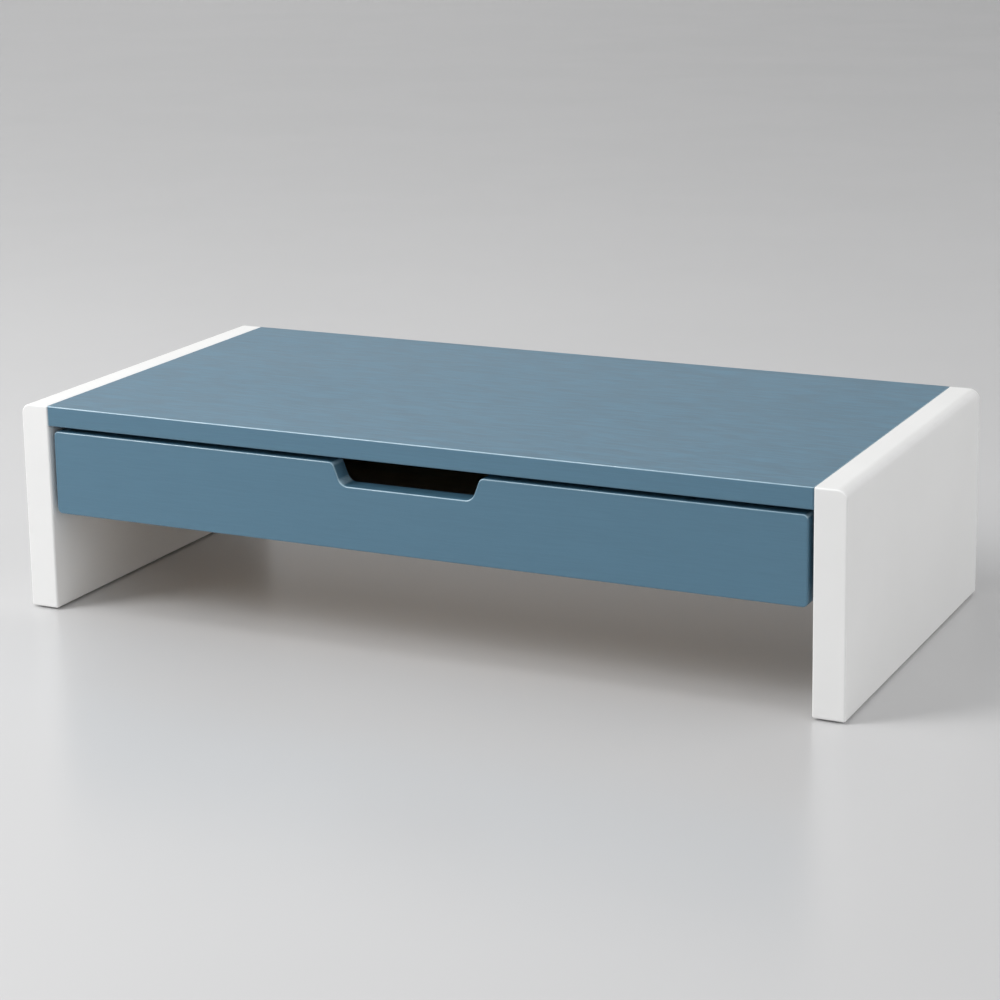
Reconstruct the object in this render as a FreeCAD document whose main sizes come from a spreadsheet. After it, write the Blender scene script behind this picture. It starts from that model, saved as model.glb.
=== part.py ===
import FreeCAD, Part

import os

import Sketcher

# Desk shelf riser with a drawer, in millimetres.
#
# Two thick white side panels carry a thin coloured top between them. A drawer with a plain front hangs
# under the top on two ball-bearing slides, and a back rail closes the space behind it. The boards are
# joined by dowels and by cam bolts with cam locks, all hidden from outside.
#
# The origin is on the desk, in the middle of the shelf. +X is to the right, -Y is the drawer's side
# and +Z is up.

# Driving sizes: the sheet's alias, its value and what it measures.
SIZES = [
    ("shelf_width", 500, "across the outer faces of both side panels"),
    ("shelf_depth", 240, "front edge to back edge"),
    ("panel_height", 122, "side panel, without its pads"),
    ("thick_board", 18, "board of the side panels"),
    ("thin_board", 12, "board of the top, the back rail and the drawer"),
    ("shoulder_round", 6, "long outer top edge of a side panel"),
    ("panel_round", 1.2, "other edges of a side panel"),
    ("panel_seam_round", 0.8, "inner top edge of a side panel, beside the top"),
    ("top_seam_round", 0.4, "ends of the top, beside the side panels"),
    ("arris_round", 1, "front and back edges of the top, and edges of the drawer"),
    ("back_arris_round", 0.5, "edges of the drawer front at its back"),
    ("pad_thickness", 1, "anti-slip pad under a side panel"),
    ("pad_diameter", 12, "anti-slip pad"),
    ("pad_inset", 22, "centre of a pad from the front or back edge"),
    ("front_height", 49, "drawer front"),
    ("front_top_gap", 3, "between drawer front and top"),
    ("front_side_gap", 3, "between drawer front and side panel"),
    ("front_setback", 1, "drawer front behind the front edge of the top"),
    ("front_corner_round", 3, "corners of the drawer front"),
    ("notch_top_width", 90, "finger notch at the upper edge, without its rounding"),
    ("notch_floor_width", 80, "finger notch at its floor, without its rounding"),
    ("notch_depth", 13, "finger notch below the upper edge"),
    ("notch_lip_round", 3.5, "upper corners of the notch"),
    ("notch_floor_round", 6, "lower corners of the notch"),
    ("rail_inset", 2, "back rail in front of the back edge of the top"),
    ("rail_dowel_place", 110, "upright dowels of the back rail, each side of the middle"),
    ("box_lift", 3, "drawer box above the lower edge of the front"),
    ("box_drop", 5, "drawer box below the upper edge of the front"),
    ("box_back_gap", 10, "between drawer box and back rail"),
    ("bottom_thickness", 4, "drawer bottom"),
    ("bottom_lift", 6, "drawer bottom above the lower edge of the box"),
    ("groove_depth", 5, "groove for the drawer bottom"),
    ("groove_spare", 0.2, "room in the groove over and beside the bottom"),
    ("slide_space", 12.7, "one slide, from side panel to drawer box"),
    ("slide_height", 35, "outer rail of a slide"),
    ("slide_front_gap", 1, "slide behind the drawer front"),
    ("slide_rear_gap", 2, "slide in front of the rear end of the box"),
    ("slide_steel", 1.2, "sheet of the rails"),
    ("slide_reach", 11, "flange of the outer rail, from the side panel"),
    ("middle_reach", 10.4, "flange of the middle rail, from the side panel"),
    ("lip_drop", 0.6, "lip of the outer rail below its flange"),
    ("screw_room", 0.9, "outer rail to the outer cage, past the screw heads"),
    ("rail_gap", 0.5, "between a cage and the rail beside it"),
    ("cage_sheet", 0.6, "sheet of the ball cages"),
    ("cage_end_gap", 7, "cage from the end of the rails when they are pulled out"),
    ("cage_border", 0.7, "cage beyond the balls"),
    ("ball_diameter", 3.2, "ball of a slide"),
    ("ball_line", 7.8, "ball centres from the side panel"),
    ("ball_play", 0.05, "room between ball and race"),
    ("ball_pitch", 10, "ball to ball along a row"),
    ("race_depth", 0.25, "ball race in a flange"),
    ("cage_play", 0.1, "room between ball and cage"),
    ("buffer_length", 4, "stop at the rear end of the outer rail"),
    ("buffer_height", 24, "stop at the rear end of the outer rail"),
    ("buffer_round", 0.5, "edges of the stop where the middle rail meets it"),
    ("buffer_gap", 0.3, "between the stop and the closed middle rail"),
    ("screw_diameter", 3.5, "countersunk wood screws"),
    ("screw_head", 6.6, "head diameter of a wood screw"),
    ("screw_proud", 0.3, "head of a slide screw above the sheet"),
    ("screw_tip", 1.5, "pointed end of a wood screw"),
    ("slide_screw_length", 12, "wood screw through a rail"),
    ("back_screw_length", 35, "wood screw through the drawer side"),
    ("back_screw_spread", 8, "wood screws above and below the joint's middle"),
    ("outer_screw_inset", 20, "first and last screw from the ends of the outer rail"),
    ("inner_screw_inset", 40, "first and last screw from the ends of the inner rail"),
    ("access_hole", 9, "holes in the middle rail for the screwdriver"),
    ("dowel_diameter", 6, "wood dowel"),
    ("dowel_length", 30, "wood dowel"),
    ("dowel_bevel", 0.6, "ends of a wood dowel"),
    ("dowel_sink_thick", 10, "dowel in the face of a thick board"),
    ("dowel_sink_thin", 8, "dowel in the face of a thin board"),
    ("dowel_inset", 25, "first and last dowel of the top from its edges"),
    ("cam_diameter", 12, "cam lock"),
    ("cam_beyond", 3.5, "cam lock past the axis of its bolt"),
    ("cam_setback", 24, "cam lock from the joint"),
    ("cam_land", 1.5, "wood between cam lock and dowel"),
    ("cam_slot_length", 7, "cross slot of a cam lock"),
    ("cam_slot_width", 1.4, "cross slot of a cam lock"),
    ("cam_slot_depth", 2, "cross slot of a cam lock"),
    ("screw_slot_length", 3.6, "cross slot of a wood screw"),
    ("screw_slot_width", 0.9, "cross slot of a wood screw"),
    ("screw_slot_depth", 1, "cross slot of a wood screw"),
    ("bolt_thread", 5, "threaded end of a cam bolt"),
    ("bolt_thread_length", 9, "threaded end of a cam bolt"),
    ("bolt_shank", 4, "shank of a cam bolt"),
    ("bolt_neck", 2.4, "neck of a cam bolt"),
    ("bolt_neck_length", 4, "neck of a cam bolt"),
    ("bolt_head", 4.6, "head of a cam bolt"),
    ("bolt_head_length", 2.5, "head of a cam bolt"),
    ("fit_play", 0.1, "room round a fixing in its hole"),
    ("hole_spare", 0.5, "hole deeper than its fixing"),
]

# Places worked out from the sizes, as expressions. X is counted from the middle to the right.
FACE_X = "(Sizes.shelf_width / 2 - Sizes.thick_board)"
OUTER_X = "(Sizes.shelf_width / 2)"
BOX_X = f"({FACE_X} - Sizes.slide_space)"
BOX_SIDE_MIDDLE_X = f"({BOX_X} - Sizes.thin_board / 2)"
BOX_INSIDE_X = f"({BOX_X} - Sizes.thin_board)"
FRONT_X = f"({FACE_X} - Sizes.front_side_gap)"

EDGE_Y = "(Sizes.shelf_depth / 2)"
FRONT_Y = f"(Sizes.front_setback - {EDGE_Y})"
FRONT_BACK_Y = f"({FRONT_Y} + Sizes.thin_board)"
RAIL_BACK_Y = f"({EDGE_Y} - Sizes.rail_inset)"
RAIL_MIDDLE_Y = f"({RAIL_BACK_Y} - Sizes.thin_board / 2)"
RAIL_FRONT_Y = f"({RAIL_BACK_Y} - Sizes.thin_board)"
BOX_REAR_Y = f"({RAIL_FRONT_Y} - Sizes.box_back_gap)"
BOX_BACK_MIDDLE_Y = f"({BOX_REAR_Y} - Sizes.thin_board / 2)"
BOX_BACK_FACE_Y = f"({BOX_REAR_Y} - Sizes.thin_board)"

LOW_Z = "Sizes.pad_thickness"
TOP_Z = "(Sizes.pad_thickness + Sizes.panel_height)"
TOP_MIDDLE_Z = f"({TOP_Z} - Sizes.thin_board / 2)"
UNDER_TOP_Z = f"({TOP_Z} - Sizes.thin_board)"
FRONT_TOP_Z = f"({UNDER_TOP_Z} - Sizes.front_top_gap)"
FRONT_LOW_Z = f"({FRONT_TOP_Z} - Sizes.front_height)"
NOTCH_FLOOR_Z = f"({FRONT_TOP_Z} - Sizes.notch_depth)"
RAIL_MIDDLE_Z = f"(({UNDER_TOP_Z} + {FRONT_LOW_Z}) / 2)"
BOX_LOW_Z = f"({FRONT_LOW_Z} + Sizes.box_lift)"
BOX_TOP_Z = f"({FRONT_TOP_Z} - Sizes.box_drop)"
GROOVE_LOW_Z = f"({BOX_LOW_Z} + Sizes.bottom_lift)"
GROOVE_TOP_Z = f"({GROOVE_LOW_Z} + Sizes.bottom_thickness + Sizes.groove_spare)"
BOX_JOINT_Z = f"(({GROOVE_TOP_Z} + {BOX_TOP_Z}) / 2)"
SLIDE_Z = f"(({BOX_LOW_Z} + {BOX_TOP_Z}) / 2)"

# A slide runs along Y. It opens by its own length, so each of its two stages opens by half of that.
SLIDE_FRONT_Y = f"({FRONT_BACK_Y} + Sizes.slide_front_gap)"
SLIDE_REAR_Y = f"({BOX_REAR_Y} - Sizes.slide_rear_gap)"
SLIDE_MIDDLE_Y = f"(({SLIDE_FRONT_Y} + {SLIDE_REAR_Y}) / 2)"
STAGE_TRAVEL = f"(({SLIDE_REAR_Y} - {SLIDE_FRONT_Y}) / 2)"
BUFFER_Y = f"({SLIDE_REAR_Y} - Sizes.buffer_length)"
MIDDLE_REAR_Y = f"({BUFFER_Y} - Sizes.buffer_gap)"
CAGE_LENGTH = f"({STAGE_TRAVEL} - 2 * Sizes.cage_end_gap)"
CAGE_FRONT_Y = f"({SLIDE_FRONT_Y} + Sizes.cage_end_gap + {STAGE_TRAVEL} / 2)"
CAGE_REAR_Y = f"({CAGE_FRONT_Y} + {CAGE_LENGTH})"
CAGE_MIDDLE_Y = f"(({CAGE_FRONT_Y} + {CAGE_REAR_Y}) / 2)"

# The section of a slide: X from the side panel towards the drawer, Z from the slide's own middle.
BALL_RADIUS = "(Sizes.ball_diameter / 2)"
RACE_RADIUS = f"({BALL_RADIUS} + Sizes.ball_play)"
BALL_STANDOFF = f"({RACE_RADIUS} - Sizes.race_depth)"
OUTER_FLANGE_Z = "(Sizes.slide_height / 2 - Sizes.slide_steel)"
OUTER_BALL_Z = f"({OUTER_FLANGE_Z} - {BALL_STANDOFF})"
MIDDLE_OUTSIDE_Z = f"({OUTER_BALL_Z} - {BALL_STANDOFF})"
MIDDLE_INSIDE_Z = f"({MIDDLE_OUTSIDE_Z} - Sizes.slide_steel)"
INNER_BALL_Z = f"({MIDDLE_INSIDE_Z} - {BALL_STANDOFF})"
INNER_OUTSIDE_Z = f"({INNER_BALL_Z} - {BALL_STANDOFF})"
OUTER_CAGE_X = "(Sizes.slide_steel + Sizes.screw_room)"
MIDDLE_WEB_X = f"({OUTER_CAGE_X} + Sizes.cage_sheet + Sizes.rail_gap)"
INNER_CAGE_X = f"({MIDDLE_WEB_X} + Sizes.slide_steel + Sizes.rail_gap)"
INNER_FLANGE_X = f"({INNER_CAGE_X} + Sizes.cage_sheet + Sizes.rail_gap)"
INNER_WEB_X = "(Sizes.slide_space - Sizes.slide_steel)"
CAGE_REACH_X = f"(Sizes.ball_line + {BALL_RADIUS} + Sizes.cage_border)"

# Fixings.
DOWEL_HOLE = "(Sizes.dowel_diameter + 2 * Sizes.fit_play)"
SCREW_HOLE = "(Sizes.screw_diameter + 2 * Sizes.fit_play)"
SCREW_CONE = "((Sizes.screw_head - Sizes.screw_diameter) / 2)"
SLIDE_SCREW_HEAD = "(Sizes.slide_steel + Sizes.screw_proud)"
SLIDE_SCREW_DEPTH = f"(Sizes.slide_screw_length - {SLIDE_SCREW_HEAD} + Sizes.hole_spare)"
CAM_HOLE = "(Sizes.cam_diameter + 2 * Sizes.fit_play)"
CAM_DEPTH = "(Sizes.thin_board / 2 + Sizes.cam_beyond)"
CAM_BORE = "(Sizes.bolt_head + 2 * Sizes.fit_play + Sizes.hole_spare)"
THREAD_HOLE = "(Sizes.bolt_thread + 2 * Sizes.fit_play)"
THREAD_DEPTH = "(Sizes.bolt_thread_length + Sizes.hole_spare)"
DOWEL_SPREAD = "((Sizes.cam_diameter + Sizes.dowel_diameter) / 2 + Sizes.cam_land)"
DOWEL_IN_THICK = "(Sizes.dowel_sink_thick + Sizes.hole_spare)"
DOWEL_IN_THIN = "(Sizes.dowel_sink_thin + Sizes.hole_spare)"
DOWEL_PAST_THICK = "(Sizes.dowel_length - Sizes.dowel_sink_thick + Sizes.hole_spare)"
DOWEL_PAST_THIN = "(Sizes.dowel_length - Sizes.dowel_sink_thin + Sizes.hole_spare)"
TOP_BOLTS_Y = [f"(-{EDGE_Y} / 2)", f"({EDGE_Y} / 2)"]
TOP_DOWELS_Y = [f"(Sizes.dowel_inset - {EDGE_Y})", "0", f"({EDGE_Y} - Sizes.dowel_inset)"]
RAIL_DOWELS_Z = [f"({RAIL_MIDDLE_Z} - {DOWEL_SPREAD})", f"({RAIL_MIDDLE_Z} + {DOWEL_SPREAD})"]
BOX_DOWELS_Z = [f"({BOX_JOINT_Z} - {DOWEL_SPREAD})", f"({BOX_JOINT_Z} + {DOWEL_SPREAD})"]
BACK_SCREWS_Z = [f"({BOX_JOINT_Z} - Sizes.back_screw_spread)", f"({BOX_JOINT_Z} + Sizes.back_screw_spread)"]
OUTER_SCREWS_Y = [f"({SLIDE_FRONT_Y} + Sizes.outer_screw_inset)", SLIDE_MIDDLE_Y,
                  f"({SLIDE_REAR_Y} - Sizes.outer_screw_inset)"]
INNER_SCREWS_Y = [f"({SLIDE_FRONT_Y} + Sizes.inner_screw_inset)", SLIDE_MIDDLE_Y,
                  f"({SLIDE_REAR_Y} - Sizes.inner_screw_inset)"]

NEAR = 0.01
SIDES = (("left", -1), ("right", 1))
X_AXIS = FreeCAD.Vector(1, 0, 0)
Y_AXIS = FreeCAD.Vector(0, 1, 0)
Z_AXIS = FreeCAD.Vector(0, 0, 1)
# How a sketch on an origin plane faces: along the axis that it doesn't hold, or against it.
PLANE_FACES = {"XY_Plane": 1, "XZ_Plane": -1, "YZ_Plane": 1}


def make_sheet(document):
    sheet = document.addObject("Spreadsheet::Sheet", "Sizes")
    for row, (alias, number, note) in enumerate(SIZES, 1):
        sheet.set(f"A{row}", alias)
        sheet.set(f"B{row}", str(number))
        sheet.set(f"C{row}", note)
        sheet.setAlias(f"B{row}", alias)
    document.recompute()
    return sheet


document = FreeCAD.newDocument("DeskShelf")
sizes = make_sheet(document)
nodes = []


def value(expression):
    """The number that an expression of the sheet's sizes has now."""
    return float(sizes.evalExpression(expression.replace("Sizes.", "")))


def signed(sign, expression):
    return f"({sign} * {expression})"


def add_body(label, is_node=True):
    body = document.addObject("PartDesign::Body", label)
    body.Label = label
    if is_node:
        nodes.append(body)
    return body


def add_sketch(body, name, plane, at):
    """An empty sketch on one of the body's origin planes, moved along that plane's own axis."""
    sketch = body.newObject("Sketcher::SketchObject", name)
    support = next(item for item in body.Origin.OriginFeatures if item.Role == plane)
    sketch.AttachmentSupport = [(support, "")]
    sketch.MapMode = "FlatFace"
    sketch.setExpression("AttachmentOffset.Base.z", signed(PLANE_FACES[plane], at))
    return sketch


def place_point(sketch, geometry, position, name, point):
    """Ties one point of a sketch to the two expressions of its place."""
    for kind, axis, expression in zip(("DistanceX", "DistanceY"), "xy", point):
        number = sketch.addConstraint(
            Sketcher.Constraint(kind, -1, 1, geometry, position, value(expression)))
        sketch.renameConstraint(number, f"{name}_{axis}")
        sketch.setExpression(f"Constraints.{name}_{axis}", expression)


def polygon(body, name, plane, at, points):
    """A closed outline through points, each a pair of expressions."""
    sketch = add_sketch(body, name, plane, at)
    corners = [FreeCAD.Vector(value(across), value(up), 0) for across, up in points]
    for corner, following in zip(corners, corners[1:] + corners[:1]):
        sketch.addGeometry(Part.LineSegment(corner, following))
    for number in range(len(points)):
        sketch.addConstraint(Sketcher.Constraint("Coincident", number, 2, (number + 1) % len(points), 1))
    for number, point in enumerate(points):
        place_point(sketch, number, 1, f"corner{number + 1}", point)
    return sketch


def rectangle(body, name, plane, at, low, high):
    points = [(low[0], low[1]), (high[0], low[1]), (high[0], high[1]), (low[0], high[1])]
    return polygon(body, name, plane, at, points)


def circles(body, name, plane, at, centres, diameter):
    sketch = add_sketch(body, name, plane, at)
    for number, centre in enumerate(centres):
        middle = FreeCAD.Vector(value(centre[0]), value(centre[1]), 0)
        sketch.addGeometry(Part.Circle(middle, Z_AXIS, value(diameter) / 2))
        place_point(sketch, number, 3, f"centre{number + 1}", centre)
        row = sketch.addConstraint(Sketcher.Constraint("Diameter", number, value(diameter)))
        sketch.renameConstraint(row, f"across{number + 1}")
        sketch.setExpression(f"Constraints.across{number + 1}", diameter)
    return sketch


def plane_of(sketch):
    return sketch.AttachmentSupport[0][0].Role


def pad(body, sketch, length, towards):
    """Raises a sketch along its plane's axis: towards is 1, -1, or 0 for half each way."""
    feature = body.newObject("PartDesign::Pad", f"{sketch.Name}_pad")
    feature.Profile = sketch
    feature.setExpression("Length", length)
    feature.Reversed = towards == -PLANE_FACES[plane_of(sketch)]
    if towards == 0:
        feature.SideType = "Symmetric"
    document.recompute()


def pocket(body, sketch, depth, towards, taper="0"):
    """Sinks a sketch along its plane's axis and makes sure that it cut something."""
    before = body.Shape.Volume
    feature = body.newObject("PartDesign::Pocket", f"{sketch.Name}_pocket")
    feature.Profile = sketch
    feature.setExpression("Length", depth)
    feature.setExpression("TaperAngle", taper)
    feature.Reversed = towards == PLANE_FACES[plane_of(sketch)]
    if towards == 0:
        feature.SideType = "Symmetric"
    document.recompute()
    if not body.Shape.Volume < before:
        raise RuntimeError(f"{feature.Name} cuts nothing")


def edges_at(body, **places):
    """The names of the edges that lie at each given coordinate, such as x=... and z=..."""
    names = []
    for number, edge in enumerate(body.Tip.Shape.Edges, 1):
        box = edge.BoundBox
        ends = [(getattr(box, axis.upper() + end), value(place))
                for axis, place in places.items() for end in ("Min", "Max")]
        if all(abs(found - wanted) < NEAR for found, wanted in ends):
            names.append(f"Edge{number}")
    return names


def round_edges(body, radius, names):
    if not names:
        raise RuntimeError(f"{body.Label} has no edge to round there")
    base = body.Tip
    feature = body.newObject("PartDesign::Fillet", f"{body.Name}_round")
    feature.Base = (base, names)
    feature.setExpression("Radius", radius)
    document.recompute()


def revolve(body, points, name="outline"):
    """Turns an outline in the XZ plane about the X axis. A point is a pair: along X and off the axis."""
    sketch = polygon(body, f"{body.Name}_{name}", "XZ_Plane", "0", points)
    feature = body.newObject("PartDesign::Revolution", f"{body.Name}_{name}_turned")
    feature.Profile = sketch
    axis = next(item for item in body.Origin.OriginFeatures if item.Role == "X_Axis")
    feature.ReferenceAxis = (axis, [""])
    feature.Angle = 360
    document.recompute()


def countersunk_holes(body, name, plane, at, centres, towards, depth, proud="0"):
    """Screw holes with a cone for the head, which stands proud of the face by the given size."""
    mouth = f"(Sizes.screw_head - 2 * {proud} + 2 * Sizes.fit_play)"
    cone_depth = f"({SCREW_CONE} - {proud})"
    pocket(body, circles(body, f"{name}_shanks", plane, at, centres, SCREW_HOLE), depth, towards)
    pocket(body, circles(body, f"{name}_cones", plane, at, centres, mouth), cone_depth, towards, "-45")


def turn(x_to, z_to):
    """The rotation that sends +X and +Z to two directions at right angles."""
    return FreeCAD.Rotation(x_to, z_to.cross(x_to), z_to, "ZXY")


def add_group(label, piece, places):
    """One node of like pieces: a linked copy of the piece at each place, turned as the place says."""
    copies = []
    for number, (x, y, z, rotation) in enumerate(places, 1):
        copy = document.addObject("App::Link", f"{label}_{number}")
        copy.LinkedObject = piece
        copy.Placement = FreeCAD.Placement(FreeCAD.Vector(), rotation)
        for axis, expression in zip("xyz", (x, y, z)):
            copy.setExpression(f"Placement.Base.{axis}", expression)
        copies.append(copy)
    group = document.addObject("Part::Compound", label)
    group.Label = label
    group.Links = copies
    nodes.append(group)


# Carcass


def make_side_panel(side, sign):
    inner, outer = signed(sign, FACE_X), signed(sign, OUTER_X)
    body = add_body(f"{side}_side_panel")
    board = rectangle(body, f"{side}_panel", "XZ_Plane", "0", (inner, LOW_Z), (outer, TOP_Z))
    pad(body, board, "Sizes.shelf_depth", 0)
    round_edges(body, "Sizes.shoulder_round", edges_at(body, x=outer, z=TOP_Z))
    outline = edges_at(body, y=EDGE_Y) + edges_at(body, y=f"-{EDGE_Y}")
    foot = edges_at(body, x=outer, z=LOW_Z) + edges_at(body, x=inner, z=LOW_Z)
    round_edges(body, "Sizes.panel_round", outline + foot)
    round_edges(body, "Sizes.panel_seam_round", edges_at(body, x=inner, z=TOP_Z))
    dowels = [(y, TOP_MIDDLE_Z) for y in TOP_DOWELS_Y] + [(RAIL_MIDDLE_Y, z) for z in RAIL_DOWELS_Z]
    bolts = [(y, TOP_MIDDLE_Z) for y in TOP_BOLTS_Y] + [(RAIL_MIDDLE_Y, RAIL_MIDDLE_Z)]
    screws = [(y, SLIDE_Z) for y in OUTER_SCREWS_Y]
    for name, centres, diameter, depth in (
            ("dowel_holes", dowels, DOWEL_HOLE, DOWEL_IN_THICK),
            ("bolt_holes", bolts, THREAD_HOLE, THREAD_DEPTH),
            ("slide_holes", screws, SCREW_HOLE, SLIDE_SCREW_DEPTH)):
        holes = circles(body, f"{side}_{name}", "YZ_Plane", inner, centres, diameter)
        pocket(body, holes, depth, sign)


def drill_board_ends(body, dowels, bolts):
    """Holes in both ends of a board that stands between the side panels."""
    for side, sign in SIDES:
        end = signed(sign, FACE_X)
        dowel_holes = circles(body, f"{body.Name}_{side}_dowels", "YZ_Plane", end, dowels, DOWEL_HOLE)
        pocket(body, dowel_holes, DOWEL_PAST_THICK, -sign)
        bolt_holes = circles(body, f"{body.Name}_{side}_bolts", "YZ_Plane", end, bolts, THREAD_HOLE)
        pocket(body, bolt_holes, "Sizes.cam_setback", -sign)


def make_top_panel():
    body = add_body("top_panel")
    low, high = (f"-{FACE_X}", f"-{EDGE_Y}"), (FACE_X, EDGE_Y)
    pad(body, rectangle(body, "top_board", "XY_Plane", UNDER_TOP_Z, low, high), "Sizes.thin_board", 1)
    outlines = edges_at(body, y=f"-{EDGE_Y}") + edges_at(body, y=EDGE_Y)
    round_edges(body, "Sizes.arris_round", outlines)
    seams = edges_at(body, x=FACE_X, z=TOP_Z) + edges_at(body, x=f"-{FACE_X}", z=TOP_Z)
    round_edges(body, "Sizes.top_seam_round", seams)
    dowels, bolts = [[(y, TOP_MIDDLE_Z) for y in places] for places in (TOP_DOWELS_Y, TOP_BOLTS_Y)]
    drill_board_ends(body, dowels, bolts)
    cam_x = f"({FACE_X} - Sizes.cam_setback)"
    cams = [(signed(sign, cam_x), y) for _, sign in SIDES for y in TOP_BOLTS_Y]
    pocket(body, circles(body, "top_cam_bores", "XY_Plane", UNDER_TOP_Z, cams, CAM_HOLE), CAM_DEPTH, 1)
    uprights = [(signed(sign, "Sizes.rail_dowel_place"), RAIL_MIDDLE_Y) for _, sign in SIDES]
    holes = circles(body, "top_rail_dowels", "XY_Plane", UNDER_TOP_Z, uprights, DOWEL_HOLE)
    pocket(body, holes, DOWEL_IN_THIN, 1)


def make_back_rail():
    body = add_body("back_rail")
    low, high = (f"-{FACE_X}", FRONT_LOW_Z), (FACE_X, UNDER_TOP_Z)
    pad(body, rectangle(body, "rail_board", "XZ_Plane", RAIL_FRONT_Y, low, high), "Sizes.thin_board", 1)
    lower_edges = edges_at(body, y=RAIL_FRONT_Y, z=FRONT_LOW_Z) + edges_at(body, y=RAIL_BACK_Y, z=FRONT_LOW_Z)
    round_edges(body, "Sizes.arris_round", lower_edges)
    drill_board_ends(body, [(RAIL_MIDDLE_Y, z) for z in RAIL_DOWELS_Z], [(RAIL_MIDDLE_Y, RAIL_MIDDLE_Z)])
    cams = [(signed(sign, f"({FACE_X} - Sizes.cam_setback)"), RAIL_MIDDLE_Z) for _, sign in SIDES]
    pocket(body, circles(body, "rail_cam_bores", "XZ_Plane", RAIL_FRONT_Y, cams, CAM_HOLE), CAM_DEPTH, 1)
    dowels = [(signed(sign, "Sizes.rail_dowel_place"), RAIL_MIDDLE_Y) for _, sign in SIDES]
    holes = circles(body, "rail_top_dowels", "XY_Plane", UNDER_TOP_Z, dowels, DOWEL_HOLE)
    pocket(body, holes, DOWEL_PAST_THIN, -1)


def make_foot_pads():
    disc = add_body("foot_pad_disc", is_node=False)
    pad(disc, circles(disc, "pad_circle", "XY_Plane", "0", [("0", "0")], "Sizes.pad_diameter"),
        "Sizes.pad_thickness", 1)
    pad_x = f"({OUTER_X} - Sizes.thick_board / 2)"
    pad_y = f"({EDGE_Y} - Sizes.pad_inset)"
    places = [(signed(across, pad_x), signed(along, pad_y), "0", FreeCAD.Rotation())
              for across in (-1, 1) for along in (-1, 1)]
    add_group("foot_pads", disc, places)


# Drawer


def make_drawer_front():
    body = add_body("drawer_front")
    low, high = (f"-{FRONT_X}", FRONT_LOW_Z), (FRONT_X, FRONT_TOP_Z)
    pad(body, rectangle(body, "front_board", "XZ_Plane", FRONT_Y, low, high), "Sizes.thin_board", 1)
    corners = [name for x in (f"-{FRONT_X}", FRONT_X) for z in (FRONT_LOW_Z, FRONT_TOP_Z)
               for name in edges_at(body, x=x, z=z)]
    round_edges(body, "Sizes.front_corner_round", corners)
    lip, floor = "(Sizes.notch_top_width / 2)", "(Sizes.notch_floor_width / 2)"
    notch = polygon(body, "finger_notch", "XZ_Plane", FRONT_Y, [
        (f"-{lip}", FRONT_TOP_Z), (f"-{floor}", NOTCH_FLOOR_Z), (floor, NOTCH_FLOOR_Z), (lip, FRONT_TOP_Z)])
    pocket(body, notch, "Sizes.thin_board", 1)
    lips = edges_at(body, x=f"-{lip}", z=FRONT_TOP_Z) + edges_at(body, x=lip, z=FRONT_TOP_Z)
    round_edges(body, "Sizes.notch_lip_round", lips)
    floor_corners = edges_at(body, x=f"-{floor}", z=NOTCH_FLOOR_Z) + edges_at(body, x=floor, z=NOTCH_FLOOR_Z)
    round_edges(body, "Sizes.notch_floor_round", floor_corners)
    round_edges(body, "Sizes.arris_round", edges_at(body, y=FRONT_Y))
    round_edges(body, "Sizes.back_arris_round", edges_at(body, y=FRONT_BACK_Y))
    groove_x = f"({BOX_INSIDE_X} + Sizes.groove_depth)"
    groove = rectangle(body, "front_groove", "XZ_Plane", FRONT_BACK_Y,
                       (f"-{groove_x}", GROOVE_LOW_Z), (groove_x, GROOVE_TOP_Z))
    pocket(body, groove, "Sizes.groove_depth", -1)
    side_places = [signed(sign, BOX_SIDE_MIDDLE_X) for _, sign in SIDES]
    dowels = [(x, z) for x in side_places for z in BOX_DOWELS_Z]
    bolts = [(x, BOX_JOINT_Z) for x in side_places]
    for name, centres, diameter, depth in (
            ("front_dowels", dowels, DOWEL_HOLE, DOWEL_IN_THIN),
            ("front_bolts", bolts, THREAD_HOLE, THREAD_DEPTH)):
        holes = circles(body, name, "XZ_Plane", FRONT_BACK_Y, centres, diameter)
        pocket(body, holes, depth, -1)


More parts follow.
